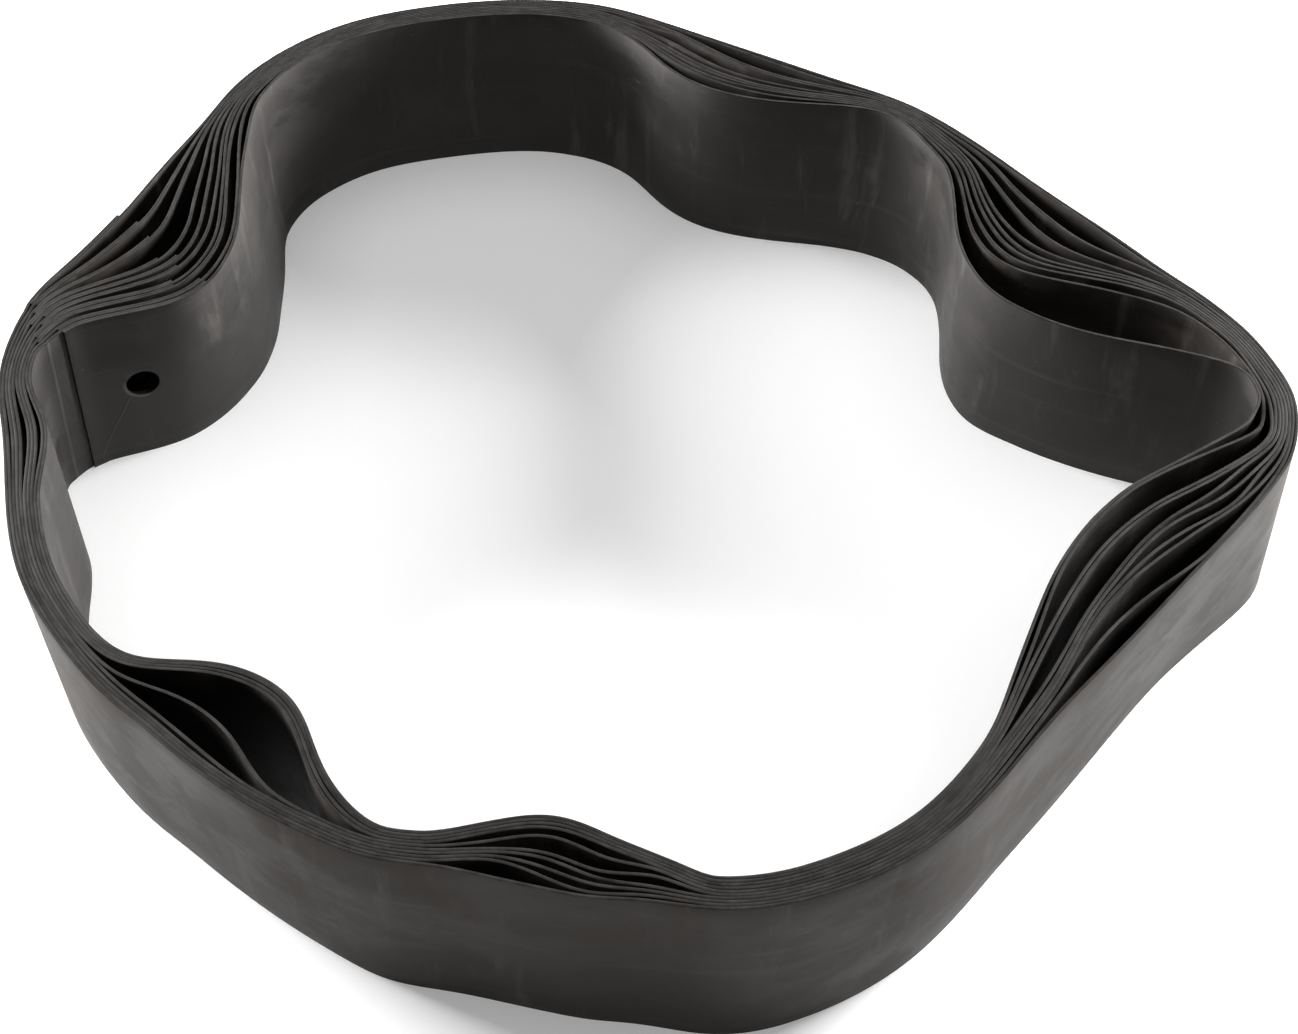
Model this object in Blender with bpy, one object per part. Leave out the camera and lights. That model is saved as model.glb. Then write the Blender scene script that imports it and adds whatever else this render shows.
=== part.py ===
"""A nest of ten rubber rim strips standing on edge, one inside the other.

Every strip is a closed loop of flat rubber strip.  Its two ends are lapped and vulcanised
together, and one valve hole goes through the middle of the lap.  The loops are pushed out
of round: they touch in places and stand apart in others.  Each one lifts out upwards.
"""

import math

import bmesh
import bpy
import numpy as np

NAME = "rim_strip_nest"

STRIP_WIDTH = 0.050        # height of the nest as it stands
THICKNESS = 0.00075        # of one ply
LOOP_LENGTH = 1.006        # developed length round one closed strip
CLEARANCE = 0.0003         # air kept between neighbours where they touch
LAP_LENGTH = 0.041         # both plies lie on each other over this length
INNER_END_RAMP = 0.008     # the strip comes back to one ply over this length
OUTER_END_RAMP = 0.014     # the same beyond the lap's other end
HOLE_DIAMETER = 0.008      # takes a car-type valve stem
HOLE_HEIGHT = 0.025        # hole centre above the lower edge
HOLE_OFFSET = -0.0034      # hole centre beside the first rung
HOLE_REACH = 0.050         # length of the drill
HOLE_SEGMENTS = 24
STATIONS_PER_RUNG = 3      # outline points between one rung and the next
EASE = 0.00015             # rounds off the change from touching to standing apart
NEST_TURN = math.radians(-45.0)   # sets the valve holes in line along Y
MESH_WELD = 0.000001
SHARP_ANGLE = math.radians(40.0)

DRAWN_LENGTH = 1006.0      # length in millimetres of the loops drawn by RUNGS

# How far each lap sits along its strip from the valve hole's rung, in millimetres.
LAP_SHIFTS = (0.0, 1.5, -0.5, -4.4, 0.4, -2.2, -6.9, -7.7, -0.9, -0.5)

# The nest in plan, in millimetres, clockwise from the valve holes.  A rung is a short line
# across the stack: x and y where it starts, its heading in degrees, and how far along it
# each strip stands, outermost first.  TOUCH: all ten lie against each other.
TOUCH = None
RUNGS = (
    (-154.0, 42.0, -45, (0.5, 5.0, 9.5, 14.0, 16.5, 19.0, 22.5, 24.5, 28.0, 30.0)),
    (-145.0, 60.0, -47, (0.0, 7.0, 14.0, 22.5, 26.0, 29.0, 33.0, 34.5, 38.0, 40.0)),
    (-140.0, 72.0, -27, (0.0, 6.0, 10.5, 16.5, 20.0, 23.0, 25.5, 27.0, 30.5, 31.5)),
    (-134.3, 87.2, -21, (0.0, 3.5, 6.0, 10.0, 12.5, 15.0, 16.5, 17.5, 21.0, 22.0)),
    (-127.4, 104.2, -26, (0.0, 1.0, 2.0, 3.5, 5.0, 7.0, 8.0, 9.5, 12.0, 14.5)),
    (-120.5, 119.9, -34, (-1.0, 0.0, 1.0, 1.7, 2.5, 3.3, 4.0, 5.0, 6.2, 8.3)),
    (-108.6, 139.5, -44, TOUCH),
    (-89.4, 154.8, -62, TOUCH),
    (-64.1, 163.7, -80, TOUCH),
    (-34.0, 166.9, -91, TOUCH),
    (-14.0, 164.5, -108, (0.5, 1.5, 2.5, 3.5, 4.5, 5.3, 6.2, 7.0, 8.0, 9.0)),
    (0.0, 158.5, -112, (0.5, 1.5, 2.5, 5.0, 6.5, 8.0, 9.0, 10.0, 10.8, 12.0)),
    (14.0, 150.5, -117, (0.5, 1.5, 3.5, 4.7, 8.8, 11.6, 13.0, 14.6, 16.0, 19.0)),
    (28.0, 142.3, -117, (0.5, 1.7, 6.5, 7.5, 12.4, 14.7, 16.0, 17.7, 19.2, 23.2)),
    (43.0, 133.5, -111, (0.5, 2.4, 7.3, 8.2, 11.7, 13.6, 14.5, 15.4, 17.5, 20.2)),
    (60.0, 123.5, -109, (0.5, 2.0, 4.0, 4.9, 6.9, 7.8, 8.7, 9.6, 10.5, 12.0)),
    (76.0, 113.2, -122, TOUCH),
    (90.0, 100.5, -146, (0.5, 1.5, 3.0, 4.5, 5.5, 6.5, 7.5, 8.5, 9.5, 11.0)),
    (100.0, 87.5, -161, (0.0, 1.0, 3.0, 6.0, 8.0, 9.0, 10.0, 11.5, 13.0, 15.0)),
    (110.0, 75.0, -163, (0.5, 1.5, 6.5, 10.5, 15.0, 16.5, 18.0, 20.0, 21.5, 24.5)),
    (121.0, 61.5, -166, (0.7, 1.7, 9.3, 15.5, 21.5, 24.0, 26.0, 28.5, 31.5, 36.0)),
    (130.5, 49.5, -158, (0.5, 2.0, 8.3, 14.5, 19.5, 23.0, 25.5, 28.5, 32.5, 43.5)),
    (140.0, 37.0, -158, (0.5, 1.7, 3.3, 7.3, 9.6, 10.8, 12.6, 14.8, 20.3, 43.0)),
    (147.5, 28.0, -150, (0.5, 1.5, 2.5, 4.0, 5.0, 6.0, 7.0, 8.0, 11.3, 34.0)),
    (153.8, 19.2, -144, (0.5, 1.5, 2.3, 3.4, 4.3, 5.1, 5.9, 6.7, 8.5, 22.8)),
    (159.5, 9.8, -146, (1.0, 2.0, 2.8, 3.6, 4.4, 5.2, 6.0, 6.8, 8.4, 14.7)),
    (163.6, -1.9, -165, (1.0, 1.8, 2.7, 3.6, 4.4, 5.3, 6.0, 7.0, 8.0, 9.0)),
    (164.9, -14.0, 176, (0.4, 1.2, 2.0, 2.8, 3.6, 4.4, 5.2, 6.4, 7.8, 8.6)),
    (161.9, -28.8, 139.5, (0.1, 1.2, 2.0, 2.9, 3.7, 4.5, 5.5, 6.3, 9.0, 12.0)),
    (155.0, -43.0, 140, (0.7, 1.6, 3.0, 5.0, 6.4, 8.9, 10.3, 11.1, 17.2, 19.4)),
    (146.0, -54.5, 140, (0.7, 1.5, 4.4, 5.4, 8.6, 11.2, 14.7, 15.9, 23.3, 24.3)),
    (134.0, -67.5, 136, (0.2, 1.0, 7.2, 9.3, 12.6, 14.1, 18.6, 19.7, 26.2, 27.1)),
    (120.0, -82.3, 131, (-0.6, 3.3, 9.1, 10.5, 12.1, 13.2, 18.7, 19.8, 25.3, 26.1)),
    (107.0, -97.5, 123, (-0.3, 4.7, 8.5, 9.5, 10.4, 11.4, 16.5, 17.7, 21.9, 23.4)),
    (96.0, -110.0, 119, (0.0, 3.1, 4.8, 5.7, 6.5, 7.9, 12.4, 13.9, 15.8, 17.9)),
    (84.2, -124.8, 130, (0.4, 1.8, 3.0, 3.9, 4.8, 5.6, 7.0, 7.9, 8.7, 9.6)),
    (60.3, -150.1, 124, TOUCH),
    (36.1, -162.5, 104, TOUCH),
    (15.0, -165.5, 92, TOUCH),
    (-0.2, -163.8, 72, (0.3, 1.5, 2.7, 3.9, 6.5, 8.3, 9.2, 9.8, 10.4, 11.0)),
    (-10.1, -162.8, 75, (0.0, 1.0, 3.0, 4.7, 6.5, 10.0, 12.7, 13.5, 14.2, 15.0)),
    (-20.0, -160.9, 85, (0.1, 2.7, 5.0, 7.3, 8.7, 13.0, 15.3, 16.3, 17.2, 18.0)),
    (-31.0, -158.1, 95, (0.1, 4.4, 5.4, 6.4, 7.1, 9.1, 11.3, 12.1, 12.9, 13.6)),
    (-43.0, -155.1, 92, (0.0, 1.3, 2.1, 3.0, 3.8, 4.8, 5.8, 6.6, 7.4, 8.2)),
    (-56.2, -152.9, 72, TOUCH),
    (-70.2, -147.2, 62, (0.1, 0.9, 1.7, 2.5, 3.3, 4.1, 8.2, 9.3, 10.6, 11.3)),
    (-83.3, -139.7, 50, (0.1, 0.9, 1.7, 2.5, 3.2, 5.1, 15.8, 16.8, 17.7, 18.5)),
    (-97.4, -129.4, 45, (0.1, 0.9, 1.7, 2.5, 4.0, 10.7, 23.8, 24.7, 25.7, 26.4)),
    (-110.3, -117.9, 52, (0.2, 1.0, 1.8, 2.6, 4.1, 10.1, 18.8, 19.8, 20.9, 21.7)),
    (-121.3, -107.9, 50, (0.2, 1.0, 1.8, 2.7, 3.9, 5.6, 9.0, 9.8, 10.6, 11.3)),
    (-133.4, -93.0, 33, TOUCH),
    (-145.5, -73.7, 25, TOUCH),
    (-153.5, -49.6, 14, TOUCH),
    (-159.9, -25.1, 12, (0.5, 1.2, 2.4, 3.2, 4.1, 6.2, 7.0, 7.8, 9.5, 10.3)),
    (-164.1, -6.1, 5, TOUCH),
    (-164.4, 10.3, -24, (0.0, 1.0, 2.0, 3.0, 4.0, 5.0, 6.0, 7.0, 8.0, 9.0)),
    (-161.8, 24.4, -40, (0.0, 1.6, 3.2, 4.8, 6.5, 8.2, 9.9, 11.5, 14.0, 15.8)),
)

STRIP_COUNT = len(LAP_SHIFTS)
PLAN_SCALE = LOOP_LENGTH / DRAWN_LENGTH     # metres for each millimetre drawn

RUBBER_COLOUR = (0.045, 0.042, 0.040)
RUBBER_ROUGHNESS = 0.82
RUBBER_SHADE_STEP = 0.0012     # the outermost strip is the most worn and the palest


def clear_scene():
    """Remove the objects of the opening scene."""
    for thing in list(bpy.data.objects):
        bpy.data.objects.remove(thing, do_unlink=True)


def add_collection(name):
    """A new collection linked to the scene."""
    collection = bpy.data.collections.new(name)
    bpy.context.scene.collection.children.link(collection)
    return collection


def smooth_fall(distance, start, length):
    """1 up to start, then a smooth fall to 0 over length."""
    x = np.clip((distance - start) / length, 0.0, 1.0)
    return 1.0 - x * x * (3.0 - 2.0 * x)


def closed_spline(knots, values, places):
    """A closed cubic curve through the values at the knots, read at the places."""
    count = len(knots) - 1
    spans = np.diff(knots)
    matrix = np.zeros((count, count))
    right = np.zeros(values.shape)
    for i in range(count):
        before, after, following = spans[i - 1], spans[i], (i + 1) % count
        matrix[i, i - 1] += before
        matrix[i, i] += 2.0 * (before + after)
        matrix[i, following] += after
        rise = (values[following] - values[i]) / after
        right[i] = 6.0 * (rise - (values[i] - values[i - 1]) / before)
    bends = np.linalg.solve(matrix, right)
    i = np.clip(np.searchsorted(knots, places, side="right") - 1, 0, count - 1)
    j = (i + 1) % count
    span = spans[i][:, None]
    t = (places - knots[i])[:, None] / span
    s = 1.0 - t
    curve = (s ** 3 - s) * bends[i] + (t ** 3 - t) * bends[j]
    return s * values[i] + t * values[j] + span * span / 6.0 * curve


def turned(points, angle):
    """Plan points turned about the origin."""
    c, s = math.cos(angle), math.sin(angle)
    x, y = points[:, 0], points[:, 1]
    return np.stack([c * x - s * y, s * x + c * y], axis=1)


def unit(vectors):
    """Vectors brought to length one."""
    return vectors / np.linalg.norm(vectors, axis=1)[:, None]


def inward_normals(points):
    """Unit vectors pointing into the nest, for a loop that runs clockwise."""
    along = unit(np.roll(points, -1, axis=0) - np.roll(points, 1, axis=0))
    return np.stack([along[:, 1], -along[:, 0]], axis=1)


def run_along(points):
    """Length from the first point, and the whole length of the loop."""
    steps = np.linalg.norm(np.roll(points, -1, axis=0) - points, axis=1)
    return np.concatenate([[0.0], np.cumsum(steps)[:-1]]), steps.sum()


def lap_share(run, total, shift):
    """1 inside the lap, 0 where the strip is one ply again."""
    beyond = np.mod(run - shift + total / 2.0, total) - total / 2.0
    ramp = np.where(beyond < 0.0, INNER_END_RAMP, OUTER_END_RAMP)
    return smooth_fall(np.abs(beyond), LAP_LENGTH / 2.0, ramp)


def read_rungs():
    """Starts, unit headings, the strips' places along the rungs and the gaps between them."""
    starts = np.array([rung[:2] for rung in RUNGS]) * PLAN_SCALE
    angles = np.radians([rung[2] for rung in RUNGS])
    headings = np.stack([np.cos(angles), np.sin(angles)], axis=1)
    pitch = THICKNESS + CLEARANCE
    packed = np.arange(STRIP_COUNT) * pitch
    places = [packed if rung[3] is TOUCH else np.array(rung[3]) * PLAN_SCALE for rung in RUNGS]
    return starts, headings, np.array(places)


def strip_lines():
    """The centre lines of the ten strips, outermost first, in the finished frame."""
    starts, headings, places = read_rungs()
    outer = starts + headings * places[:, :1]
    inner = starts + headings * places[:, -1:]
    chords = np.linalg.norm(np.roll(outer, -1, axis=0) - outer, axis=1)
    chords = (chords + np.linalg.norm(np.roll(inner, -1, axis=0) - inner, axis=1)) / 2.0
    knots = np.concatenate([[0.0], np.cumsum(chords)])
    fractions = np.arange(STATIONS_PER_RUNG) / STATIONS_PER_RUNG
    stations = (knots[:-1, None] + chords[:, None] * fractions).ravel()
    ways = unit(closed_spline(knots, headings, stations))
    gaps = closed_spline(knots, np.diff(places, axis=1), stations)
    lines = [closed_spline(knots, outer, stations)]
    for number in range(1, STRIP_COUNT):
        line = lines[-1]
        run, total = run_along(line)
        slant = np.clip((inward_normals(line) * ways).sum(axis=1), 0.35, 1.0)
        plies = 2.0 + lap_share(run, total, LAP_SHIFTS[number - 1] / 1000.0)
        plies = plies + lap_share(run, total, LAP_SHIFTS[number] / 1000.0)
        least = (plies * THICKNESS / 2.0 + CLEARANCE) / slant
        spare = gaps[:, number - 1] - least
        spare = (spare + np.sqrt(spare * spare + EASE * EASE)) / 2.0
        lines.append(line + ways * (least + spare)[:, None])
    lines = [turned(line, NEST_TURN) for line in lines]
    everything = np.concatenate(lines)
    middle = (everything.min(axis=0) + everything.max(axis=0)) / 2.0
    return [line - middle for line in lines]


def faces_of_strip(line, shift):
    """Outer and inner outline of one strip, with a step where each ply ends."""
    run, total = run_along(line)
    normals = inward_normals(line)
    outer_end = shift + LAP_LENGTH / 2.0
    inner_end = total + shift - LAP_LENGTH / 2.0
    stops = np.sort(np.concatenate([run, [outer_end, inner_end]]))
    cycle = np.concatenate([run, [total]])
    spots = []
    for values in (line, normals):
        closed = np.concatenate([values, values[:1]])
        spots.append(np.stack([np.interp(stops, cycle, closed[:, a]) for a in (0, 1)], axis=1))
    spots, ways = spots[0], unit(spots[1])
    share = lap_share(stops, total, shift)
    outer, inner = [], []
    for stop, spot, way, part in zip(stops, spots, ways, share):
        thick = THICKNESS / 2.0 * (1.0 + part)
        thin = THICKNESS / 2.0 * (1.0 - part)
        has_outer = stop <= outer_end or stop >= total / 2.0
        has_inner = stop <= total / 2.0 or stop > inner_end
        outer.append(spot - way * (thick if has_outer else thin))
        inner.append(spot + way * (thick if has_inner else thin))
        if stop == outer_end:
            outer.append(spot - way * thin)
        if stop == inner_end:
            inner.append(spot + way * thick)
    return outer, inner


def add_outline(curve, points):
    """One closed straight-sided outline in a flat curve."""
    spline = curve.splines.new("POLY")
    spline.points.add(len(points) - 1)
    for point, (x, y) in zip(spline.points, points):
        point.co = (x, y, 0.0, 1.0)
    spline.use_cyclic_u = True


def strip_mesh(name, line, shift, collection):
    """Draw a strip as a flat curve, give it its width and turn it into a mesh object."""
    curve = bpy.data.curves.new(name + "_outline", "CURVE")
    curve.dimensions = "2D"
    curve.fill_mode = "BOTH"
    curve.extrude = STRIP_WIDTH / 2.0
    for outline in faces_of_strip(line, shift):
        add_outline(curve, outline)
    drawn = bpy.data.objects.new(name + "_outline", curve)
    drawn.location.z = STRIP_WIDTH / 2.0
    collection.objects.link(drawn)
    bpy.context.view_layer.update()
    graph = bpy.context.evaluated_depsgraph_get()
    mesh = bpy.data.meshes.new_from_object(drawn.evaluated_get(graph))
    mesh.name = name
    welded = bmesh.new()
    welded.from_mesh(mesh)
    bmesh.ops.remove_doubles(welded, verts=welded.verts, dist=MESH_WELD)
    bmesh.ops.recalc_face_normals(welded, faces=welded.faces)
    welded.to_mesh(mesh)
    welded.free()
    strip = bpy.data.objects.new(name, mesh)
    strip.matrix_world = drawn.matrix_world
    bpy.data.objects.remove(drawn, do_unlink=True)
    collection.objects.link(strip)
    return strip


def add_drill(lines, collection):
    """One round cutter along Y that goes through all ten laps."""
    start = (lines[0][0] + lines[-1][0]) / 2.0
    drill = bmesh.new()
    bmesh.ops.create_cone(
        drill,
        cap_ends=True,
        segments=HOLE_SEGMENTS,
        radius1=HOLE_DIAMETER / 2.0,
        radius2=HOLE_DIAMETER / 2.0,
        depth=HOLE_REACH,
    )
    mesh = bpy.data.meshes.new("valve_hole_drill")
    drill.to_mesh(mesh)
    drill.free()
    cutter = bpy.data.objects.new("valve_hole_drill", mesh)
    cutter.rotation_euler.x = math.radians(90.0)
    cutter.location = (start[0] + HOLE_OFFSET, start[1], HOLE_HEIGHT)
    cutter.hide_render = True
    cutter.display_type = "WIRE"
    collection.objects.link(cutter)
    return cutter


def add_rubber(name, number):
    """The strip's own rubber."""
    material = bpy.data.materials.new(name)
    material.use_nodes = True
    shader = material.node_tree.nodes["Principled BSDF"]
    shade = 1.0 - RUBBER_SHADE_STEP * number / RUBBER_COLOUR[0]
    colour = tuple(part * shade for part in RUBBER_COLOUR)
    shader.inputs["Base Color"].default_value = (*colour, 1.0)
    shader.inputs["Roughness"].default_value = RUBBER_ROUGHNESS
    shader.inputs["Metallic"].default_value = 0.0
    return material


def main():
    """Build the nest."""
    clear_scene()
    parts = add_collection(NAME)
    cutters = add_collection("cutters")
    lines = strip_lines()
    drill = add_drill(lines, cutters)
    for number, (line, shift) in enumerate(zip(lines, LAP_SHIFTS)):
        name = "rim_strip_%02d" % (number + 1)
        strip = strip_mesh(name, line, shift / 1000.0, parts)
        strip.data.materials.append(add_rubber("rubber_%02d" % (number + 1), number))
        hole = strip.modifiers.new("valve_hole", "BOOLEAN")
        hole.operation = "DIFFERENCE"
        hole.solver = "EXACT"
        hole.object = drill
        strip.data.shade_smooth()
        strip.data.set_sharp_from_angle(angle=SHARP_ANGLE)


main()
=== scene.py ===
"""The look of a nest of ten rubber rim strips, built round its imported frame."""

import collections
import math

import bmesh
import bpy
import numpy as np
from bpy.props import FloatProperty, FloatVectorProperty, IntProperty, PointerProperty
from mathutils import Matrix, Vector


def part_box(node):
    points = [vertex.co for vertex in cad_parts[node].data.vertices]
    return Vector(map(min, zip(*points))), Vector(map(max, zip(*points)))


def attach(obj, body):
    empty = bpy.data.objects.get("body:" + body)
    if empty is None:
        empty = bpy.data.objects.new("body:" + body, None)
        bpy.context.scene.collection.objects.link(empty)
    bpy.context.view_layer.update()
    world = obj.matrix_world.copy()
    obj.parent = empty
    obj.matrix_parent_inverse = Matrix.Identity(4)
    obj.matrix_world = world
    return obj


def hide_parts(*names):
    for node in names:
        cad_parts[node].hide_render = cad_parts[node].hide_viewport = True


bl_info = {
    "name": "Rim strip nest",
    "version": (1, 0, 0),
    "blender": (4, 5, 0),
    "location": "3D View > Sidebar > Rim strips",
    "description": "Ten rubber rim strips standing on edge, one inside the other",
    "category": "Object",
}

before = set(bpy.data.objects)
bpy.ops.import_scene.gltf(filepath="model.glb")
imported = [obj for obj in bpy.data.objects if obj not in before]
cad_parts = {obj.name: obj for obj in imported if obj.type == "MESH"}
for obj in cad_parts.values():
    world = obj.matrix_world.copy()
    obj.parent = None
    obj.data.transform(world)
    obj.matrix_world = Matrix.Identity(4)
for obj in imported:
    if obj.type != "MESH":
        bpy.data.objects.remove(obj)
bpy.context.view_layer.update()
OUTER_BOX = [np.array(corner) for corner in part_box("rim_strip_01")]

STRIP_COUNT = 10
NEST_TURN = math.radians(-45.0)     # sets the valve holes in line along Y
STATIONS_PER_RUNG = 16
SMOOTH_STATIONS = 12                # how far the lean is evened out, each way
MM = 0.001
LEAST_SLANT = 0.35                  # least share of a rung that counts as distance
SOFT_TOUCH = 0.15 * MM              # how gently two strips come together

# How far each lap sits along its strip from the valve hole's rung, in millimetres.
LAP_SHIFTS = (0.0, 1.5, -0.5, -4.4, 0.4, -2.2, -6.9, -7.7, -0.9, -0.5)

# The nest in plan, in millimetres, clockwise from the valve holes.  A rung is a short line
# across the stack: x and y where it starts, its heading in degrees, how far the lower edges
# lean along it from the upper ones, and how far along it each strip stands, outermost first.
# TOUCH: all ten lie against each other.
TOUCH = None
RUNGS = (
    (-154.0, 42.0, -45, -0.8, (0.5, 5.0, 9.5, 14.0, 16.5, 19.0, 22.5, 24.5, 28.0, 30.0)),
    (-145.0, 60.0, -47, -3.8, (0.0, 7.0, 14.0, 22.5, 26.0, 29.0, 33.0, 34.5, 38.0, 40.0)),
    (-140.0, 72.0, -27, 2.8, (0.0, 6.0, 10.5, 16.5, 20.0, 23.0, 25.5, 27.0, 30.5, 31.5)),
    (-134.3, 87.2, -21, 5.4, (0.0, 3.5, 6.0, 10.0, 12.5, 15.0, 16.5, 17.5, 21.0, 22.0)),
    (-127.4, 104.2, -26, 5, (0.0, 1.0, 2.0, 3.5, 5.0, 7.0, 8.0, 9.5, 12.0, 14.5)),
    (-120.5, 119.9, -34, 2.5, (-1.0, 0.0, 1.0, 1.7, 2.5, 3.3, 4.0, 5.0, 6.2, 8.3)),
    (-108.6, 139.5, -44, 1.5, TOUCH),
    (-89.4, 154.8, -62, 1.5, TOUCH),
    (-64.1, 163.7, -80, 2.5, TOUCH),
    (-34.0, 166.9, -91, 2.5, TOUCH),
    (-14.0, 164.5, -108, 3, (0.5, 1.5, 2.5, 3.5, 4.5, 5.3, 6.2, 7.0, 8.0, 9.0)),
    (0.0, 158.5, -112, 2.5, (0.5, 1.5, 2.5, 5.0, 6.5, 8.0, 9.0, 10.0, 10.8, 12.0)),
    (14.0, 150.5, -117, 2.5, (0.5, 1.5, 3.5, 4.7, 8.8, 11.6, 13.0, 14.6, 16.0, 19.0)),
    (28.0, 142.3, -117, 2.5, (0.5, 1.7, 6.5, 7.5, 12.4, 14.7, 16.0, 17.7, 19.2, 23.2)),
    (43.0, 133.5, -111, 2.5, (0.5, 2.4, 7.3, 8.2, 11.7, 13.6, 14.5, 15.4, 17.5, 20.2)),
    (60.0, 123.5, -109, 3.5, (0.5, 2.0, 4.0, 4.9, 6.9, 7.8, 8.7, 9.6, 10.5, 12.0)),
    (76.0, 113.2, -122, 4, TOUCH),
    (90.0, 100.5, -146, -1, (0.5, 1.5, 3.0, 4.5, 5.5, 6.5, 7.5, 8.5, 9.5, 11.0)),
    (100.0, 87.5, -161, -1.5, (0.0, 1.0, 3.0, 6.0, 8.0, 9.0, 10.0, 11.5, 13.0, 15.0)),
    (110.0, 75.0, -163, -1.5, (0.5, 1.5, 6.5, 10.5, 15.0, 16.5, 18.0, 20.0, 21.5, 24.5)),
    (121.0, 61.5, -166, -0.5, (0.7, 1.7, 9.3, 15.5, 21.5, 24.0, 26.0, 28.5, 31.5, 36.0)),
    (130.5, 49.5, -158, 0, (0.5, 2.0, 8.3, 14.5, 19.5, 23.0, 25.5, 28.5, 32.5, 43.5)),
    (140.0, 37.0, -158, -2.5, (0.5, 1.7, 3.3, 7.3, 9.6, 10.8, 12.6, 14.8, 20.3, 43.0)),
    (147.5, 28.0, -150, -2, (0.5, 1.5, 2.5, 4.0, 5.0, 6.0, 7.0, 8.0, 11.3, 34.0)),
    (153.8, 19.2, -144, 0, (0.5, 1.5, 2.3, 3.4, 4.3, 5.1, 5.9, 6.7, 8.5, 22.8)),
    (159.5, 9.8, -146, 0, (1.0, 2.0, 2.8, 3.6, 4.4, 5.2, 6.0, 6.8, 8.4, 14.7)),
    (163.6, -1.9, -165, 0, (1.0, 1.8, 2.7, 3.6, 4.4, 5.3, 6.0, 7.0, 8.0, 9.0)),
    (164.9, -14.0, 176, -0.5, (0.4, 1.2, 2.0, 2.8, 3.6, 4.4, 5.2, 6.4, 7.8, 8.6)),
    (161.9, -28.8, 139.5, -1.0, (0.1, 1.2, 2.0, 2.9, 3.7, 4.5, 5.5, 6.3, 9.0, 12.0)),
    (155.0, -43.0, 140, 0.9, (0.7, 1.6, 3.0, 5.0, 6.4, 8.9, 10.3, 11.1, 17.2, 19.4)),
    (146.0, -54.5, 140, 3.2, (0.7, 1.5, 4.4, 5.4, 8.6, 11.2, 14.7, 15.9, 23.3, 24.3)),
    (134.0, -67.5, 136, 4.6, (0.2, 1.0, 7.2, 9.3, 12.6, 14.1, 18.6, 19.7, 26.2, 27.1)),
    (120.0, -82.3, 131, 4.3, (-0.6, 3.3, 9.1, 10.5, 12.1, 13.2, 18.7, 19.8, 25.3, 26.1)),
    (107.0, -97.5, 123, 3.4, (-0.3, 4.7, 8.5, 9.5, 10.4, 11.4, 16.5, 17.7, 21.9, 23.4)),
    (96.0, -110.0, 119, 2.5, (0.0, 3.1, 4.8, 5.7, 6.5, 7.9, 12.4, 13.9, 15.8, 17.9)),
    (84.2, -124.8, 130, 2.7, (0.4, 1.8, 3.0, 3.9, 4.8, 5.6, 7.0, 7.9, 8.7, 9.6)),
    (60.3, -150.1, 124, 3.0, TOUCH),
    (36.1, -162.5, 104, 1.6, TOUCH),
    (15.0, -165.5, 92, 0.4, TOUCH),
    (-0.2, -163.8, 72, 0.9, (0.3, 1.5, 2.7, 3.9, 6.5, 8.3, 9.2, 9.8, 10.4, 11.0)),
    (-10.1, -162.8, 75, 1.3, (0.0, 1.0, 3.0, 4.7, 6.5, 10.0, 12.7, 13.5, 14.2, 15.0)),
    (-20.0, -160.9, 85, 1.1, (0.1, 2.7, 5.0, 7.3, 8.7, 13.0, 15.3, 16.3, 17.2, 18.0)),
    (-31.0, -158.1, 95, 1.0, (0.1, 4.4, 5.4, 6.4, 7.1, 9.1, 11.3, 12.1, 12.9, 13.6)),
    (-43.0, -155.1, 92, 0.8, (0.0, 1.3, 2.1, 3.0, 3.8, 4.8, 5.8, 6.6, 7.4, 8.2)),
    (-56.2, -152.9, 72, 1.4, TOUCH),
    (-70.2, -147.2, 62, 2.6, (0.1, 0.9, 1.7, 2.5, 3.3, 4.1, 8.2, 9.3, 10.6, 11.3)),
    (-83.3, -139.7, 50, 3.6, (0.1, 0.9, 1.7, 2.5, 3.2, 5.1, 15.8, 16.8, 17.7, 18.5)),
    (-97.4, -129.4, 45, 4.0, (0.1, 0.9, 1.7, 2.5, 4.0, 10.7, 23.8, 24.7, 25.7, 26.4)),
    (-110.3, -117.9, 52, 3.4, (0.2, 1.0, 1.8, 2.6, 4.1, 10.1, 18.8, 19.8, 20.9, 21.7)),
    (-121.3, -107.9, 50, 3.1, (0.2, 1.0, 1.8, 2.7, 3.9, 5.6, 9.0, 9.8, 10.6, 11.3)),
    (-133.4, -93.0, 33, 2.5, TOUCH),
    (-145.5, -73.7, 25, 2.7, TOUCH),
    (-153.5, -49.6, 14, 2.5, TOUCH),
    (-159.9, -25.1, 12, 1.4, (0.5, 1.2, 2.4, 3.2, 4.1, 6.2, 7.0, 7.8, 9.5, 10.3)),
    (-164.1, -6.1, 5, -0.5, TOUCH),
    (-164.4, 10.3, -24, -2.0, (0.0, 1.0, 2.0, 3.0, 4.0, 5.0, 6.0, 7.0, 8.0, 9.0)),
    (-161.8, 24.4, -40, -0.7, (0.0, 1.6, 3.2, 4.8, 6.5, 8.2, 9.9, 11.5, 14.0, 15.8)),
)


# ---------------------------------------------------------------- settings

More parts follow.
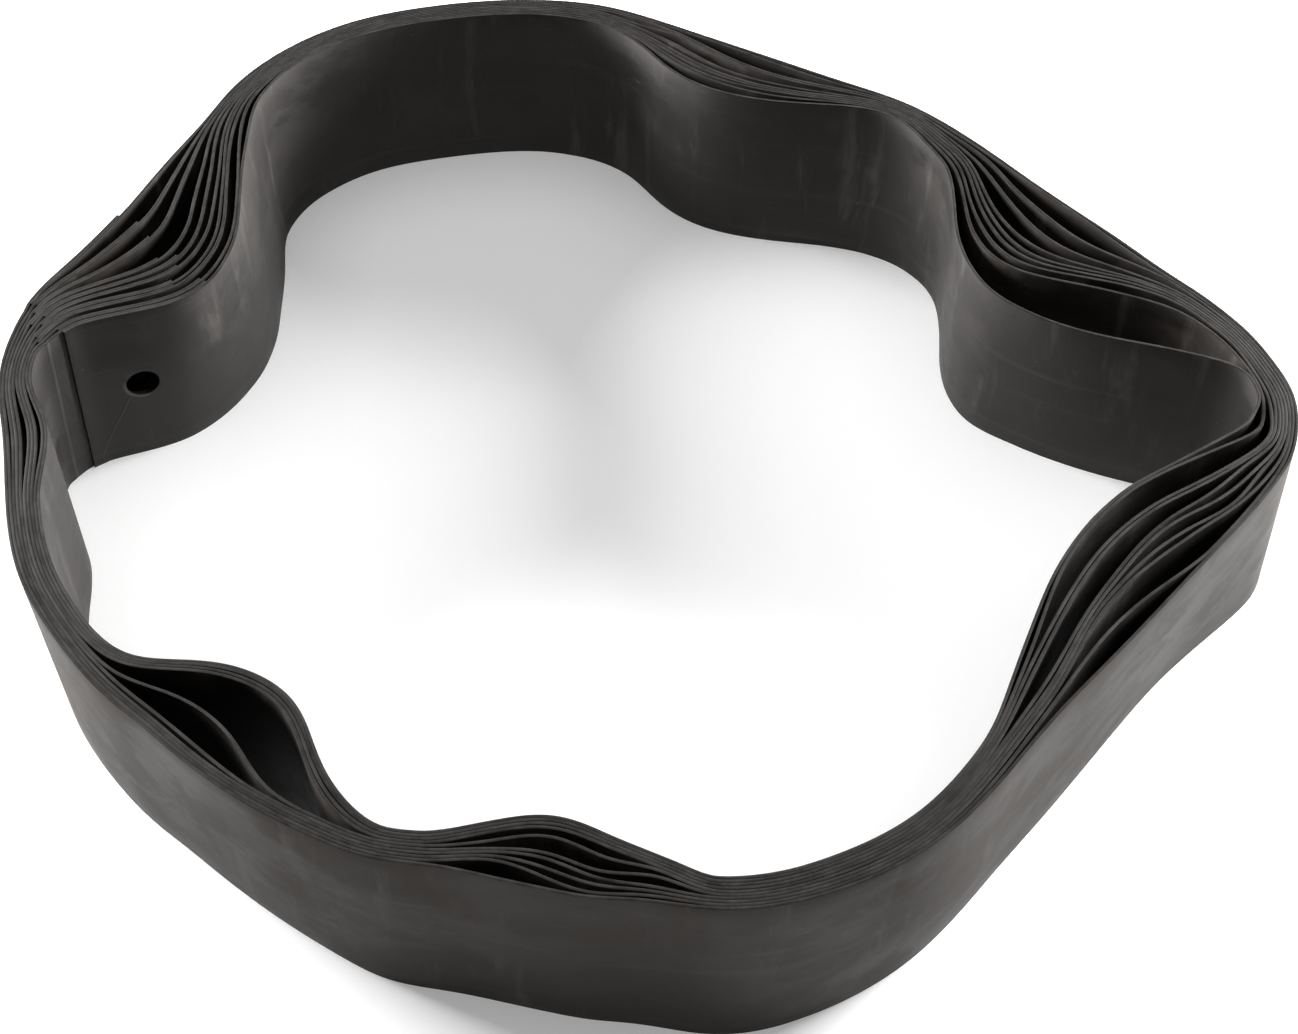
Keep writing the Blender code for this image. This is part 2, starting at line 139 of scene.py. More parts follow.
class RimStripSizes(bpy.types.PropertyGroup):
    """Sizes of one strip."""

    width: FloatProperty(
        name="Width", description="Height of the strip as it stands on edge",
        default=0.050, unit="LENGTH")
    thickness: FloatProperty(
        name="Thickness", description="Thickness of one ply",
        default=0.00075, precision=5, unit="LENGTH")
    touch_gap: FloatProperty(
        name="Touch gap", description="Air between neighbours that touch",
        default=0.00001, precision=5, unit="LENGTH")
    lap_length: FloatProperty(
        name="Lap length", description="How far the two ends lie on each other",
        default=0.041, precision=4, unit="LENGTH")
    inner_ramp: FloatProperty(
        name="Inner end ramp", description="Length to come back to one ply at the inner end",
        default=0.0035, precision=4, unit="LENGTH")
    outer_ramp: FloatProperty(
        name="Outer end ramp", description="Length to come back to one ply at the outer end",
        default=0.014, precision=4, unit="LENGTH")
    ply_gap: FloatProperty(
        name="Cement line", description="Cement between the two plies of the lap",
        default=0.00002, precision=5, unit="LENGTH")
    edge_round: FloatProperty(
        name="Edge rounding", description="Wear on the cut edges",
        default=0.00012, precision=5, unit="LENGTH")
    columns: IntProperty(
        name="Columns", description="Mesh columns along one strip", default=760)
    rows: IntProperty(
        name="Rows", description="Mesh rows across one strip", default=10)


class RimStripHole(bpy.types.PropertyGroup):
    """The valve hole through the lap."""

    diameter: FloatProperty(
        name="Diameter", description="Diameter of the hole",
        default=0.008, precision=4, unit="LENGTH")
    height: FloatProperty(
        name="Height", description="Height of its centre above the lower edge",
        default=0.025, unit="LENGTH")
    offset: FloatProperty(
        name="Offset", description="Place of its centre beside the first rung",
        default=-0.0034, precision=4, unit="LENGTH")


class RimStripFinish(bpy.types.PropertyGroup):
    """Colours and surface of the rubber."""

    black: FloatVectorProperty(
        name="Rubber", description="Clean vulcanised rubber",
        subtype="COLOR", default=(0.0036, 0.0031, 0.0028))
    bloom: FloatVectorProperty(
        name="Bloom", description="Grey-brown bloom and dust on the surface",
        subtype="COLOR", default=(0.0265, 0.0212, 0.0177))
    inner_bloom: FloatVectorProperty(
        name="Inner bloom", description="Bloom on the innermost strip, less dusty",
        subtype="COLOR", default=(0.0220, 0.0200, 0.0188))
    # Chalky smears, and also the colour of the painted highlights by the innermost strip's lap.
    chalk_and_highlight: FloatVectorProperty(
        name="Chalk", description="Rubbed chalky smears",
        subtype="COLOR", default=(0.078, 0.0735, 0.069))
    # Partly dust on the cut edge, partly painted highlight where the edges face the light.
    cut: FloatVectorProperty(
        name="Cut edge", description="The cut edge of the strip",
        subtype="COLOR", default=(0.0280, 0.0264, 0.0252))
    # Painted shade: the deep black laid in the valve hole and on the strips seen through it.
    hole_shade: FloatVectorProperty(
        name="Covered rubber", description="Deep black where nothing rubbed or dusted it",
        subtype="COLOR", default=(0.0020, 0.0019, 0.0019))
    roughness: FloatProperty(
        name="Roughness", description="Roughness of clean rubber", default=0.50)
    sheen: FloatProperty(
        name="Sheen", description="Strength of the rubber's reflection", default=0.34)


class RimStripStage(bpy.types.PropertyGroup):
    """Floor, lights and camera."""

    floor_glow: FloatProperty(
        name="Floor glow", description="How much the paper lights up from below", default=0.17)
    floor_colour: FloatVectorProperty(
        name="Floor", description="Pale paper floor",
        subtype="COLOR", default=(0.94, 0.94, 0.94))
    lens: FloatProperty(
        name="Lens", description="Focal length in millimetres", default=59.9)
    camera_height: FloatProperty(
        name="Camera height", description="Above the floor", default=0.424, unit="LENGTH")
    camera_tilt: FloatProperty(
        name="Camera tilt", description="Below the horizon",
        default=math.radians(46.3), subtype="ANGLE")
    left_power: FloatProperty(
        name="Left light", description="Softbox at the left", default=41.0, unit="POWER")
    right_power: FloatProperty(
        name="Right light", description="Softbox at the right", default=45.0, unit="POWER")
    top_power: FloatProperty(
        name="Top light", description="Softbox overhead", default=9.5, unit="POWER")
    sky: FloatProperty(
        name="Room light", description="Strength of the light from all round", default=0.08)


# ---------------------------------------------------------------- the route of the strips

def smooth_fall(distance, start, length):
    """1 up to start, then a smooth fall to 0 over length."""
    x = np.clip((distance - start) / length, 0.0, 1.0)
    return 1.0 - x * x * (3.0 - 2.0 * x)


def closed_spline(knots, values, places):
    """A closed cubic curve through the values at the knots, read at the places."""
    count = len(knots) - 1
    spans = np.diff(knots)
    matrix = np.zeros((count, count))
    right = np.zeros(values.shape)
    for i in range(count):
        before, after, following = spans[i - 1], spans[i], (i + 1) % count
        matrix[i, i - 1] += before
        matrix[i, i] += 2.0 * (before + after)
        matrix[i, following] += after
        rise = (values[following] - values[i]) / after
        right[i] = 6.0 * (rise - (values[i] - values[i - 1]) / before)
    bends = np.linalg.solve(matrix, right)
    i = np.clip(np.searchsorted(knots, places, side="right") - 1, 0, count - 1)
    j = (i + 1) % count
    span = spans[i][:, None]
    t = (places - knots[i])[:, None] / span
    s = 1.0 - t
    curve = (s ** 3 - s) * bends[i] + (t ** 3 - t) * bends[j]
    return s * values[i] + t * values[j] + span * span / 6.0 * curve


def turned(points):
    """Plan points turned about the origin by the nest's turn."""
    c, s = math.cos(NEST_TURN), math.sin(NEST_TURN)
    return points @ np.array([[c, s], [-s, c]])


def unit(vectors):
    """Vectors brought to length one."""
    return vectors / np.linalg.norm(vectors, axis=1)[:, None]


def inward_normals(points):
    """Unit vectors pointing into the nest, for a loop that runs clockwise."""
    along = unit(np.roll(points, -1, axis=0) - np.roll(points, 1, axis=0))
    return np.stack([along[:, 1], -along[:, 0]], axis=1)


def smoothed(values, reach):
    """Values round the loop, averaged over so many stations each way."""
    weights = 1.0 + np.cos(np.linspace(-math.pi, math.pi, 2 * reach + 1))
    weights = weights / weights.sum()
    steps = range(-reach, reach + 1)
    return sum(weight * np.roll(values, step, axis=0) for weight, step in zip(weights, steps))


def run_along(points):
    """Length from the first point, and the whole length of the loop."""
    steps = np.linalg.norm(np.roll(points, -1, axis=0) - points, axis=1)
    return np.concatenate([[0.0], np.cumsum(steps)[:-1]]), steps.sum()


def lap_share(run, total, shift, sizes):
    """1 inside the lap, 0 where the strip is one ply again."""
    beyond = np.mod(run - shift + total / 2.0, total) - total / 2.0
    ramp = np.where(beyond < 0.0, sizes.inner_ramp, sizes.outer_ramp)
    return smooth_fall(np.abs(beyond), sizes.lap_length / 2.0, ramp)


class Nest:
    """Centre lines of the ten strips at the upper edge, and the lean of the walls."""

    def __init__(self, sizes):
        self.sizes = sizes
        starts = np.array([rung[:2] for rung in RUNGS]) * MM
        angles = np.radians([rung[2] for rung in RUNGS])
        leans = np.array([rung[3] for rung in RUNGS]) * MM
        headings = np.stack([np.cos(angles), np.sin(angles)], axis=1)
        packed = np.arange(STRIP_COUNT) * (sizes.thickness + sizes.touch_gap)
        places = [packed if rung[4] is TOUCH else np.array(rung[4]) * MM for rung in RUNGS]
        places = np.array(places)
        outer = starts + headings * places[:, :1]
        inner = starts + headings * places[:, -1:]
        chords = np.linalg.norm(np.roll(outer, -1, axis=0) - outer, axis=1)
        chords = (chords + np.linalg.norm(np.roll(inner, -1, axis=0) - inner, axis=1)) / 2.0
        knots = np.concatenate([[0.0], np.cumsum(chords)])
        fractions = np.arange(STATIONS_PER_RUNG) / STATIONS_PER_RUNG
        stations = (knots[:-1, None] + chords[:, None] * fractions).ravel()
        ways = unit(closed_spline(knots, headings, stations))
        gaps = closed_spline(knots, np.diff(places, axis=1), stations)
        lines = [closed_spline(knots, outer, stations)]
        for number in range(1, STRIP_COUNT):
            lines.append(self.next_line(lines[-1], ways, gaps, number))
        lean_ways = inward_normals(lines[0]) * closed_spline(knots, leans[:, None], stations)
        self.lean = turned(smoothed(lean_ways, SMOOTH_STATIONS))
        lines = [turned(line) for line in lines]
        middle = (lines[0].min(axis=0) + lines[0].max(axis=0)) / 2.0
        self.middle = middle - (OUTER_BOX[0][:2] + OUTER_BOX[1][:2]) / 2.0
        self.lines = [line - self.middle for line in lines]

    def next_line(self, line, ways, gaps, number):
        """The next strip inwards, never closer than touching."""
        sizes = self.sizes
        run, total = run_along(line)
        slant = np.clip((inward_normals(line) * ways).sum(axis=1), LEAST_SLANT, 1.0)
        plies = 2.0 + lap_share(run, total, LAP_SHIFTS[number - 1] * MM, sizes)
        plies = plies + lap_share(run, total, LAP_SHIFTS[number] * MM, sizes)
        least = (plies * sizes.thickness / 2.0 + sizes.touch_gap) / slant
        spare = gaps[:, number - 1] - least
        spare = (spare + np.sqrt(spare * spare + SOFT_TOUCH ** 2)) / 2.0
        return line + ways * (least + spare)[:, None]

    def wall(self, number, along, up):
        """A strip's middle surface: along its length from the lap's inner end, and up."""
        sizes = self.sizes
        line = self.lines[number]
        shift = LAP_SHIFTS[number] * MM
        run, total = run_along(line)
        place = shift - sizes.lap_length / 2.0 + along * (total + sizes.lap_length)
        share = lap_share(place, total, shift, sizes)
        side = np.where(along < 0.5, 1.0, -1.0) * share * (sizes.thickness + sizes.ply_gap) / 2.0
        cycle = np.concatenate([run - total, run, run + total, [2.0 * total]])
        spots = []
        for values in (line, inward_normals(line), self.lean):
            rows = np.concatenate([values, values, values, values[:1]])
            spots.append(np.stack([np.interp(place, cycle, rows[:, a]) for a in (0, 1)], axis=1))
        plan = spots[0] + unit(spots[1]) * side[:, None]
        plan = plan + spots[2] * (1.0 - up / sizes.width)[:, None]
        return np.concatenate([plan, up[:, None]], axis=1)


# ---------------------------------------------------------------- rubber

# A noise over the strip as it lies flat: grain per metre along it and across it, detail,
# roughness, distortion, and how far its seed stands from the strip's own.
Grain = collections.namedtuple("Grain", "stretch detail rough warp seed")
CLOUDS = Grain((11.0, 22.0), 5.0, 0.60, 0.2, 0.0)
PATCHES = Grain((34.0, 60.0), 7.0, 0.68, 0.3, 2.0)
SMEARS = Grain((110.0, 20.0), 6.0, 0.62, 0.4, 3.0)
WIPES = Grain((10.0, 190.0), 5.0, 0.62, 0.5, 5.0)
SCUFFS = Grain((90.0, 900.0), 4.0, 0.60, 2.5, 6.0)
SPECKS = Grain((900.0, 900.0), 2.0, 0.55, 0.0, 7.0)
FINE_GRAIN = Grain((2600.0, 2600.0), 2.0, 0.55, 0.0, 9.0)
RIPPLES = Grain((38.0, 30.0), 2.0, 0.55, 0.0, 11.0)
NIBBLES = Grain((130.0, 60.0), 6.0, 0.70, 0.0, 13.0)
SEED_STEP = 1.7                     # from one strip to the next

EDGE_BAND = (0.35 * MM, 0.02 * MM)  # the cut edge on the flat map, where it starts and is full
EDGE_DULLS = 0.35
INNER_SHEEN = 1.2                   # the innermost strip's sheen against the others'
INNER_TINT = (1.0, 0.95, 0.92, 1.0)
OUTER_TINT = (1.0, 0.93, 0.88, 1.0)

# Painted shade in and round the valve hole, where the strip is painted deep black: how far from its
# centre, and how softly it ends.
OPEN_HOLE_SHADE = (4.0 * MM, 0.3 * MM)
COVERED_HOLE_SHADE = (5.4 * MM, 4.0 * MM)
LAP_SIDE = (0.060, 0.070)           # the laps lie past this Y

# Marks, painted highlights and painted shade by the innermost strip's lap, from the centre of the
# hole.
RIM_HIGHLIGHT = (4.2 * MM, 4.7 * MM, 0.4 * MM)
RIM_HIGHLIGHT_SIDE = (1.5 * MM, 5.0 * MM)
CREASE_ACROSS = (0.875, 0.484)      # the way across the crease, sideways and down
CREASE_START = 1.4 * MM
CREASE = (-0.1 * MM, 0.1 * MM, 0.2 * MM)
CREASE_DROP = (-21.0 * MM, -5.5 * MM, 2.5 * MM)
RIDGE_START = 21.6 * MM
RIDGE_SLOPE = 0.022
RIDGE_TOP = 25.0 * MM
RIDGE = (-0.2 * MM, 0.2 * MM, 0.6 * MM)
RIDGE_SHADE = (0.8 * MM, 5.0 * MM, 0.8 * MM)

HoleShade = collections.namedtuple("HoleShade", "x z black soft")


def maths(tree, operation, first, second=0.0):
    """A maths node fed by sockets or numbers, giving its output."""
    made = tree.nodes.new("ShaderNodeMath")
    made.operation = operation
    for slot, value in zip(made.inputs, (first, second)):
        if isinstance(value, bpy.types.NodeSocket):
            tree.links.new(value, slot)
        else:
            slot.default_value = value
    return made.outputs[0]


def times(tree, first, second):
    """Two values multiplied."""
    return maths(tree, "MULTIPLY", first, second)


def summed(tree, *parts):
    """Values, each times its weight, added up."""
    (value, weight), *others = parts
    total = times(tree, value, weight)
    for value, weight in others:
        total = maths(tree, "ADD", total, times(tree, value, weight))
    return total


def ramp(tree, source, low, high):
    """A smooth 0 to 1 between low and high."""
    made = tree.nodes.new("ShaderNodeMapRange")
    made.interpolation_type = "SMOOTHSTEP"
    made.inputs["From Min"].default_value = low
    made.inputs["From Max"].default_value = high
    tree.links.new(source, made.inputs["Value"])
    return made.outputs["Result"]


def band(tree, value, low, high, soft):
    """1 between low and high, falling to 0 over soft on each side."""
    rise = ramp(tree, value, low - soft, low)
    fall = maths(tree, "SUBTRACT", 1.0, ramp(tree, value, high, high + soft))
    return times(tree, rise, fall)


def noise(tree, coordinates, grain, seed):
    """Noise over the strip as it lies flat."""
    mapping = tree.nodes.new("ShaderNodeMapping")
    mapping.inputs["Scale"].default_value = (*grain.stretch, 1.0)
    tree.links.new(coordinates, mapping.inputs["Vector"])
    made = tree.nodes.new("ShaderNodeTexNoise")
    made.noise_dimensions = "4D"
    made.inputs["W"].default_value = seed + grain.seed
    made.inputs["Scale"].default_value = 1.0
    made.inputs["Detail"].default_value = grain.detail
    made.inputs["Roughness"].default_value = grain.rough
    made.inputs["Distortion"].default_value = grain.warp
    tree.links.new(mapping.outputs["Vector"], made.inputs["Vector"])
    return made.outputs["Fac"]


def blend(tree, amount, first, second):
    """A colour mix."""
    made = tree.nodes.new("ShaderNodeMix")
    made.data_type = "RGBA"
    tree.links.new(amount, made.inputs[0])
    for slot, value in ((made.inputs[6], first), (made.inputs[7], second)):
        if isinstance(value, bpy.types.NodeSocket):
            tree.links.new(value, slot)
        else:
            slot.default_value = (*value, 1.0)
    return made.outputs[2]


def axes_of(tree, vector):
    """A vector's X, Y and Z."""
    split = tree.nodes.new("ShaderNodeSeparateXYZ")
    tree.links.new(vector, split.inputs[0])
    return split.outputs


def shade_at_hole(tree, colour, finish, hole):
    """Painted shade in and round the valve hole, painted deep black: the colour and where it is
    black.
    """
    spot = axes_of(tree, tree.nodes.new("ShaderNodeTexCoord").outputs["Object"])
    side = maths(tree, "SUBTRACT", spot["X"], hole.x)
    above = maths(tree, "SUBTRACT", spot["Z"], hole.z)
    squares = [maths(tree, "POWER", value, 2.0) for value in (side, above)]
    reach = maths(tree, "SQRT", maths(tree, "ADD", *squares))
    here = ramp(tree, spot["Y"], *LAP_SIDE)
    black = maths(tree, "SUBTRACT", 1.0, ramp(tree, reach, hole.black, hole.black + hole.soft))
    black = times(tree, black, here)
    return blend(tree, black, colour, finish.hole_shade), black, side, above, reach, here


def marks_and_painted_light_on_innermost(tree, colour, finish, side, above, reach, here):
    """The open lap's marks and painted light: a painted highlight on the lower-left rim of the
    hole, a lighter line along a crease below the hole, and a ridge by the step with a painted
    highlight along it and painted shade beside it.
    """
    low_left = times(tree, maths(tree, "ADD", side, above), -1.0)
    # Painted highlight on the lower-left rim of the hole, in the chalk colour.
    rim_highlight = times(tree, band(tree, reach, *RIM_HIGHLIGHT), here)
    rim_highlight = times(tree, rim_highlight, ramp(tree, low_left, *RIM_HIGHLIGHT_SIDE))
    colour = blend(tree, times(tree, rim_highlight, 0.8), colour, finish.chalk_and_highlight)
    across, down = (times(tree, value, share) for value, share in zip((side, above), CREASE_ACROSS))
    aside = maths(tree, "ADD", maths(tree, "SUBTRACT", across, down), CREASE_START)
    crease = times(tree, band(tree, aside, *CREASE), band(tree, above, *CREASE_DROP))
    crease = times(tree, crease, here)
    colour = blend(tree, times(tree, crease, 0.4), colour, finish.chalk_and_highlight)
    slope = times(tree, maths(tree, "SUBTRACT", RIDGE_TOP, above), RIDGE_SLOPE)
    past_ridge = maths(tree, "ADD", maths(tree, "ADD", side, RIDGE_START), slope)
    shade = times(tree, band(tree, past_ridge, *RIDGE_SHADE), here)
    colour = blend(tree, times(tree, shade, 0.45), colour, finish.black)
    # Painted highlight along the ridge, in the chalk colour; the same band raises the ridge as a
    # bump.
    ridge = times(tree, band(tree, past_ridge, *RIDGE), here)
    colour = blend(tree, times(tree, ridge, 0.16), colour, finish.chalk_and_highlight)
    return colour, maths(tree, "ADD", ridge, crease)


def rubber(name, finish, sizes, seed, hole, innermost):
    """Matt vulcanised rubber with bloom, chalky smears and fine grain; its cut edges a lighter
    grey, partly dust and partly painted highlight; deep black painted as shade in the valve hole.
    """
    material = bpy.data.materials.new(name)
    material.use_nodes = True
    tree = material.node_tree
    shader = tree.nodes["Principled BSDF"]
    flat = tree.nodes.new("ShaderNodeUVMap")
    flat.uv_map = "flat"
    flat = flat.outputs["UV"]
    clouds, patches, smears, wipes, scuffs, specks, grain, ripples, nibbles = (
        noise(tree, flat, kind, seed)
        for kind in (CLOUDS, PATCHES, SMEARS, WIPES, SCUFFS, SPECKS, FINE_GRAIN, RIPPLES, NIBBLES))

    cloudy = ramp(tree, clouds, 0.42, 0.60)
    patchy = ramp(tree, patches, 0.46, 0.60)
    smeared = times(tree, ramp(tree, smears, 0.52, 0.70), cloudy)
    bloom = finish.inner_bloom if innermost else finish.bloom
    bloomed = summed(tree, (cloudy, 0.42), (patchy, 0.52))
    colour = blend(tree, bloomed, finish.black, bloom)
    streaky = times(tree, ramp(tree, wipes, 0.54, 0.74), 0.20)
    scuffed = times(tree, ramp(tree, scuffs, 0.66, 0.74), 0.45)
    dusty = times(tree, ramp(tree, specks, 0.69, 0.75), 0.55)
    dusty = maths(tree, "MAXIMUM", scuffed, dusty)
    for chalky in (times(tree, smeared, 0.72), streaky, dusty):
        colour = blend(tree, chalky, colour, finish.chalk_and_highlight)

    # Cut edges: a lighter grey, partly dust and partly painted highlight.
    half = sizes.width / 2.0
    off_middle = maths(tree, "SUBTRACT", axes_of(tree, flat)["Y"], half)
    off_middle = maths(tree, "ABSOLUTE", off_middle)
    at_edge = ramp(tree, off_middle, *(half - inside for inside in EDGE_BAND))
    cut = blend(tree, ramp(tree, nibbles, 0.32, 0.72), finish.black, finish.cut)
    colour = blend(tree, at_edge, colour, cut)

    # Painted shade: deep black in and round the valve hole.
    colour, black, *place = shade_at_hole(tree, colour, finish, hole)
    scored = 0.0
    if innermost:
        colour, scored = marks_and_painted_light_on_innermost(tree, colour, finish, *place)
    tree.links.new(colour, shader.inputs["Base Color"])

    rough = summed(tree, (cloudy, 0.18), (patchy, 0.14), (smeared, 0.10), (at_edge, 0.15))
    tree.links.new(maths(tree, "ADD", rough, finish.roughness), shader.inputs["Roughness"])
    # The sheen is taken away where the valve hole is painted black as shade, and lowered on the cut
    # edges.
    clean = maths(tree, "MAXIMUM", black, times(tree, at_edge, EDGE_DULLS))
    clean = maths(tree, "SUBTRACT", 1.0, clean)
    sheen = finish.sheen * INNER_SHEEN if innermost else finish.sheen
    tree.links.new(times(tree, clean, sheen), shader.inputs["Specular IOR Level"])
    shader.inputs["Specular Tint"].default_value = INNER_TINT if innermost else OUTER_TINT

    height = summed(
        tree, (grain, 0.012 * MM), (wipes, 0.02 * MM), (patches, 0.10 * MM),
        (ripples, 0.30 * MM), (scored, 0.12 * MM))
    bump = tree.nodes.new("ShaderNodeBump")
    bump.inputs["Distance"].default_value = 1.0
    tree.links.new(height, bump.inputs["Height"])
    tree.links.new(bump.outputs["Normal"], shader.inputs["Normal"])
    return material


# ---------------------------------------------------------------- strips

FLAT_LOOP = 1.0                     # a loop's length on the flat map
PUNCH_DEPTH = 0.050
PUNCH_SIDES = 48
WORN_PAST = math.radians(50.0)      # the edges sharper than this are worn round
SHARP_PAST = math.radians(60.0)


def flat_strip(name, sizes):
    """A flat strip as a unit square, with its flat map in metres."""
    sheet = bmesh.new()
    bmesh.ops.create_grid(sheet, x_segments=sizes.columns, y_segments=sizes.rows, size=0.5)
    bmesh.ops.translate(sheet, verts=sheet.verts, vec=(0.5, 0.5, 0.0))
    length = FLAT_LOOP + sizes.lap_length
    flat = sheet.loops.layers.uv.new("flat")
    for face in sheet.faces:
        for loop in face.loops:
            loop[flat].uv = (loop.vert.co.x * length, loop.vert.co.y * sizes.width)
    mesh = bpy.data.meshes.new(name)
    sheet.to_mesh(mesh)
    sheet.free()
    return mesh


def bend_round(mesh, nest, number):
    """Bend the flat strip round the nest's route."""
    spots = np.zeros(len(mesh.vertices) * 3, np.float32)
    mesh.vertices.foreach_get("co", spots)
    spots = spots.reshape(-1, 3)
    wall = nest.wall(number, spots[:, 0], spots[:, 1] * nest.sizes.width)
    mesh.vertices.foreach_set("co", wall.astype(np.float32).ravel())
    mesh.update()


def valve_punch(nest, hole):
    """The round punch that goes through all the laps, along Y."""
    radius = hole.diameter / 2.0
    punch = bmesh.new()
    bmesh.ops.create_cone(
        punch, cap_ends=True, segments=PUNCH_SIDES, radius1=radius, radius2=radius,
        depth=PUNCH_DEPTH)
    mesh = bpy.data.meshes.new("valve_punch")
    punch.to_mesh(mesh)
    punch.free()
    cutter = bpy.data.objects.new("valve_punch", mesh)
    cutter.rotation_euler.x = math.radians(90.0)
    start = (nest.lines[0][0] + nest.lines[-1][0]) / 2.0
    cutter.location = (start[0] + hole.offset, start[1], hole.height)
    bpy.context.scene.collection.objects.link(cutter)
    return cutter


def finish_mesh(piece):
    """Fix a piece's modifiers into its mesh."""
    bpy.context.view_layer.update()
    graph = bpy.context.evaluated_depsgraph_get()
    rough = piece.data
    piece.data = bpy.data.meshes.new_from_object(piece.evaluated_get(graph))
    piece.modifiers.clear()
    piece.data.name = piece.name
    bpy.data.meshes.remove(rough)


def make_strip(nest, number, settings):
    """One strip: bent round, given its thickness, punched and its edges worn round."""
    sizes = settings.rim_sizes
    name = "rubber_strip_%02d" % (number + 1)
    mesh = flat_strip(name, sizes)
    bend_round(mesh, nest, number)
    strip = bpy.data.objects.new(name, mesh)
    bpy.context.scene.collection.objects.link(strip)
    body = strip.modifiers.new("body", "SOLIDIFY")
    body.thickness = sizes.thickness
    body.offset = 0.0
    body.use_even_offset = True
    punch = valve_punch(nest, settings.rim_hole)
    hole = strip.modifiers.new("hole", "BOOLEAN")
    hole.operation = "DIFFERENCE"
    hole.solver = "EXACT"
    hole.object = punch
    wear = strip.modifiers.new("wear", "BEVEL")
    wear.width = sizes.edge_round
    wear.segments = 2
    wear.limit_method = "ANGLE"
    wear.angle_limit = WORN_PAST
    finish_mesh(strip)
    bpy.data.objects.remove(punch, do_unlink=True)
    strip.data.shade_smooth()
    strip.data.set_sharp_from_angle(angle=SHARP_PAST)
    innermost = number == STRIP_COUNT - 1
    # Painted shade in the hole: only at its own wall on the outermost and innermost strips,
    # reaching past the hole on the strips seen through it.
    black = OPEN_HOLE_SHADE if number == 0 or innermost else COVERED_HOLE_SHADE
    hole = settings.rim_hole
    marks = HoleShade(nest.lines[0][0][0] + hole.offset, hole.height, *black)
    strip.data.materials.append(
        rubber(name, settings.rim_finish, sizes, SEED_STEP * number, marks, innermost))
    return strip


class RIMSTRIP_OT_strips(bpy.types.Operator):
    """Make the ten rubber strips and set each on its body."""

    bl_idname = "rimstrip.strips"
    bl_label = "Rubber strips"

    def execute(self, context):
        settings = context.scene
        nest = Nest(settings.rim_sizes)
        for number in range(STRIP_COUNT):
            strip = make_strip(nest, number, settings)
            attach(strip, "strip_%02d" % (number + 1))
            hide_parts("rim_strip_%02d" % (number + 1))
        return {"FINISHED"}


# ---------------------------------------------------------------- stage

FLOOR_REACH = 4.0
PAPER_ROUGHNESS = 0.9
CAMERA_PLACE = (0.0015, -0.4125)    # in the nest's own plan, before its turn
SENSOR_WIDTH = 36.0                 # in millimetres
NEAREST_SEEN = 0.01
WHITE = (1.0, 1.0, 1.0, 1.0)
AIM = Vector((0.0, 0.0, 0.02))

# Each softbox: its name, its power setting, its place to the right, ahead and up as the
# camera looks, and its side.
SOFTBOXES = (
    ("left_box", "left_power", (-0.85, 0.42, 0.22), 0.4),
    ("right_box", "right_power", (0.85, 0.45, 0.22), 0.4),
    ("top_box", "top_power", (0.0, 0.1, 1.3), 1.8),
)


def lay_floor(scene, stage):
    """A sheet of pale paper that glows a little."""
    sheet = bmesh.new()
    bmesh.ops.create_grid(sheet, x_segments=1, y_segments=1, size=FLOOR_REACH)
    mesh = bpy.data.meshes.new("floor")
    sheet.to_mesh(mesh)
    sheet.free()
    paper = bpy.data.materials.new("paper_floor")
    paper.use_nodes = True
    inputs = paper.node_tree.nodes["Principled BSDF"].inputs
    inputs["Base Color"].default_value = (*stage.floor_colour, 1.0)
    inputs["Roughness"].default_value = PAPER_ROUGHNESS
    inputs["Emission Color"].default_value = WHITE
    inputs["Emission Strength"].default_value = stage.floor_glow
    floor = bpy.data.objects.new("floor", mesh)
    floor.data.materials.append(paper)
    scene.collection.objects.link(floor)


def hang_softbox(scene, name, place, side, power):
    """A square area light aimed at the nest."""
    light = bpy.data.lights.new(name, "AREA")
    light.shape = "RECTANGLE"
    light.size = light.size_y = side
    light.energy = power
    lamp = bpy.data.objects.new(name, light)
    lamp.location = place
    lamp.rotation_euler = (AIM - place).to_track_quat("-Z", "Y").to_euler()
    scene.collection.objects.link(lamp)


def set_camera(scene, stage):
    """The camera, looking down at the nest from in front."""
    camera = bpy.data.cameras.new("camera")
    camera.lens = stage.lens
    camera.sensor_width = SENSOR_WIDTH
    camera.clip_start = NEAREST_SEEN
    eye = bpy.data.objects.new("camera", camera)
    spot = turned(np.array([CAMERA_PLACE]))[0] - Nest(scene.rim_sizes).middle
    eye.location = (*spot, stage.camera_height)
    eye.rotation_euler = (math.radians(90.0) - stage.camera_tilt, 0.0, NEST_TURN)
    scene.collection.objects.link(eye)
    scene.camera = eye


def light_room(scene, stage):
    """Even light from all round, under the plain view of colours."""
    world = bpy.data.worlds.new("room")
    world.use_nodes = True
    back = world.node_tree.nodes["Background"]
    back.inputs["Color"].default_value = WHITE
    back.inputs["Strength"].default_value = stage.sky
    scene.world = world
    scene.view_settings.view_transform = "Standard"


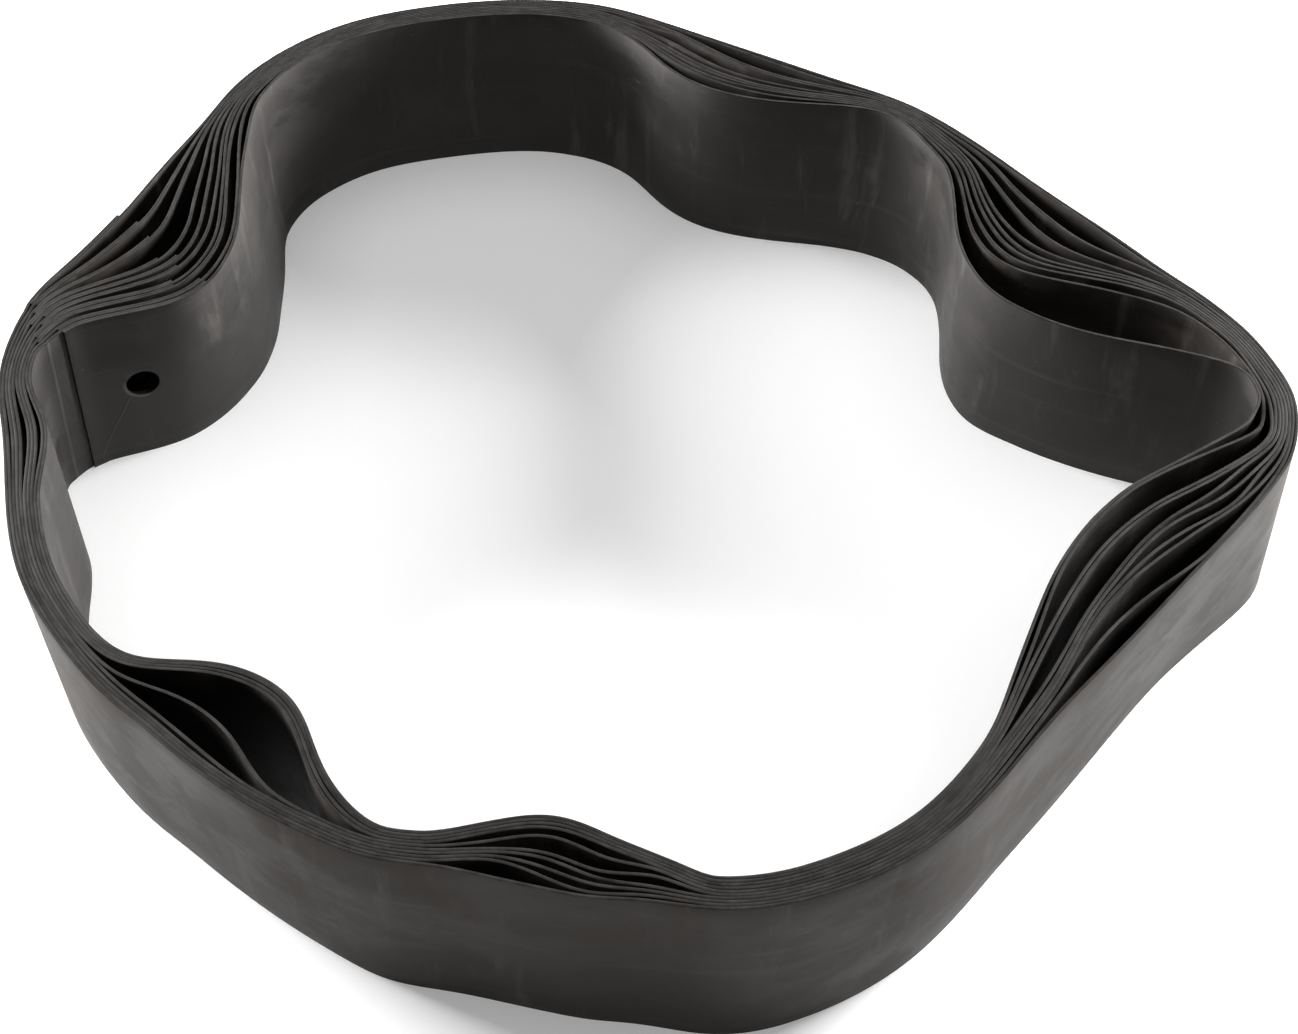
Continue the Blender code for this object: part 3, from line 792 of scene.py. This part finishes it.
class RIMSTRIP_OT_stage(bpy.types.Operator):
    """Lay the floor, hang the lights and set the camera."""

    bl_idname = "rimstrip.stage"
    bl_label = "Floor, lights and camera"

    def execute(self, context):
        scene = context.scene
        stage = scene.rim_stage
        lay_floor(scene, stage)
        set_camera(scene, stage)
        right = Vector((math.cos(NEST_TURN), math.sin(NEST_TURN), 0.0))
        ahead = Vector((-math.sin(NEST_TURN), math.cos(NEST_TURN), 0.0))
        up = Vector((0.0, 0.0, 1.0))
        for name, power, (sideways, forwards, high), side in SOFTBOXES:
            place = right * sideways + ahead * forwards + up * high
            hang_softbox(scene, name, place, side, getattr(stage, power))
        light_room(scene, stage)
        return {"FINISHED"}


# ---------------------------------------------------------------- the add-on

class RIMSTRIP_PT_panel(bpy.types.Panel):
    """Shows the settings of the strips and the stage, and the buttons that make them."""

    bl_label = "Rim strips"
    bl_idname = "RIMSTRIP_PT_panel"
    bl_space_type = "VIEW_3D"
    bl_region_type = "UI"
    bl_category = "Rim strips"

    def draw(self, context):
        layout = self.layout
        for name in GROUPS:
            box = layout.box()
            group = getattr(context.scene, name)
            for key in group.bl_rna.properties.keys():
                if key not in ("rna_type", "name"):
                    box.prop(group, key)
        layout.operator(RIMSTRIP_OT_strips.bl_idname)
        layout.operator(RIMSTRIP_OT_stage.bl_idname)


GROUPS = {
    "rim_sizes": RimStripSizes,
    "rim_hole": RimStripHole,
    "rim_finish": RimStripFinish,
    "rim_stage": RimStripStage,
}
CLASSES = (*GROUPS.values(), RIMSTRIP_OT_strips, RIMSTRIP_OT_stage, RIMSTRIP_PT_panel)


def register():
    """Register the classes and hang the settings on the scene."""
    for kind in CLASSES:
        bpy.utils.register_class(kind)
    for name, group in GROUPS.items():
        setattr(bpy.types.Scene, name, PointerProperty(type=group))


def unregister():
    """Take the settings and the classes away again."""
    for name in GROUPS:
        delattr(bpy.types.Scene, name)
    for kind in reversed(CLASSES):
        bpy.utils.unregister_class(kind)


def main():
    """Make everything in order."""
    register()
    bpy.ops.rimstrip.strips()
    bpy.ops.rimstrip.stage()


if __name__ == "__main__":
    main()
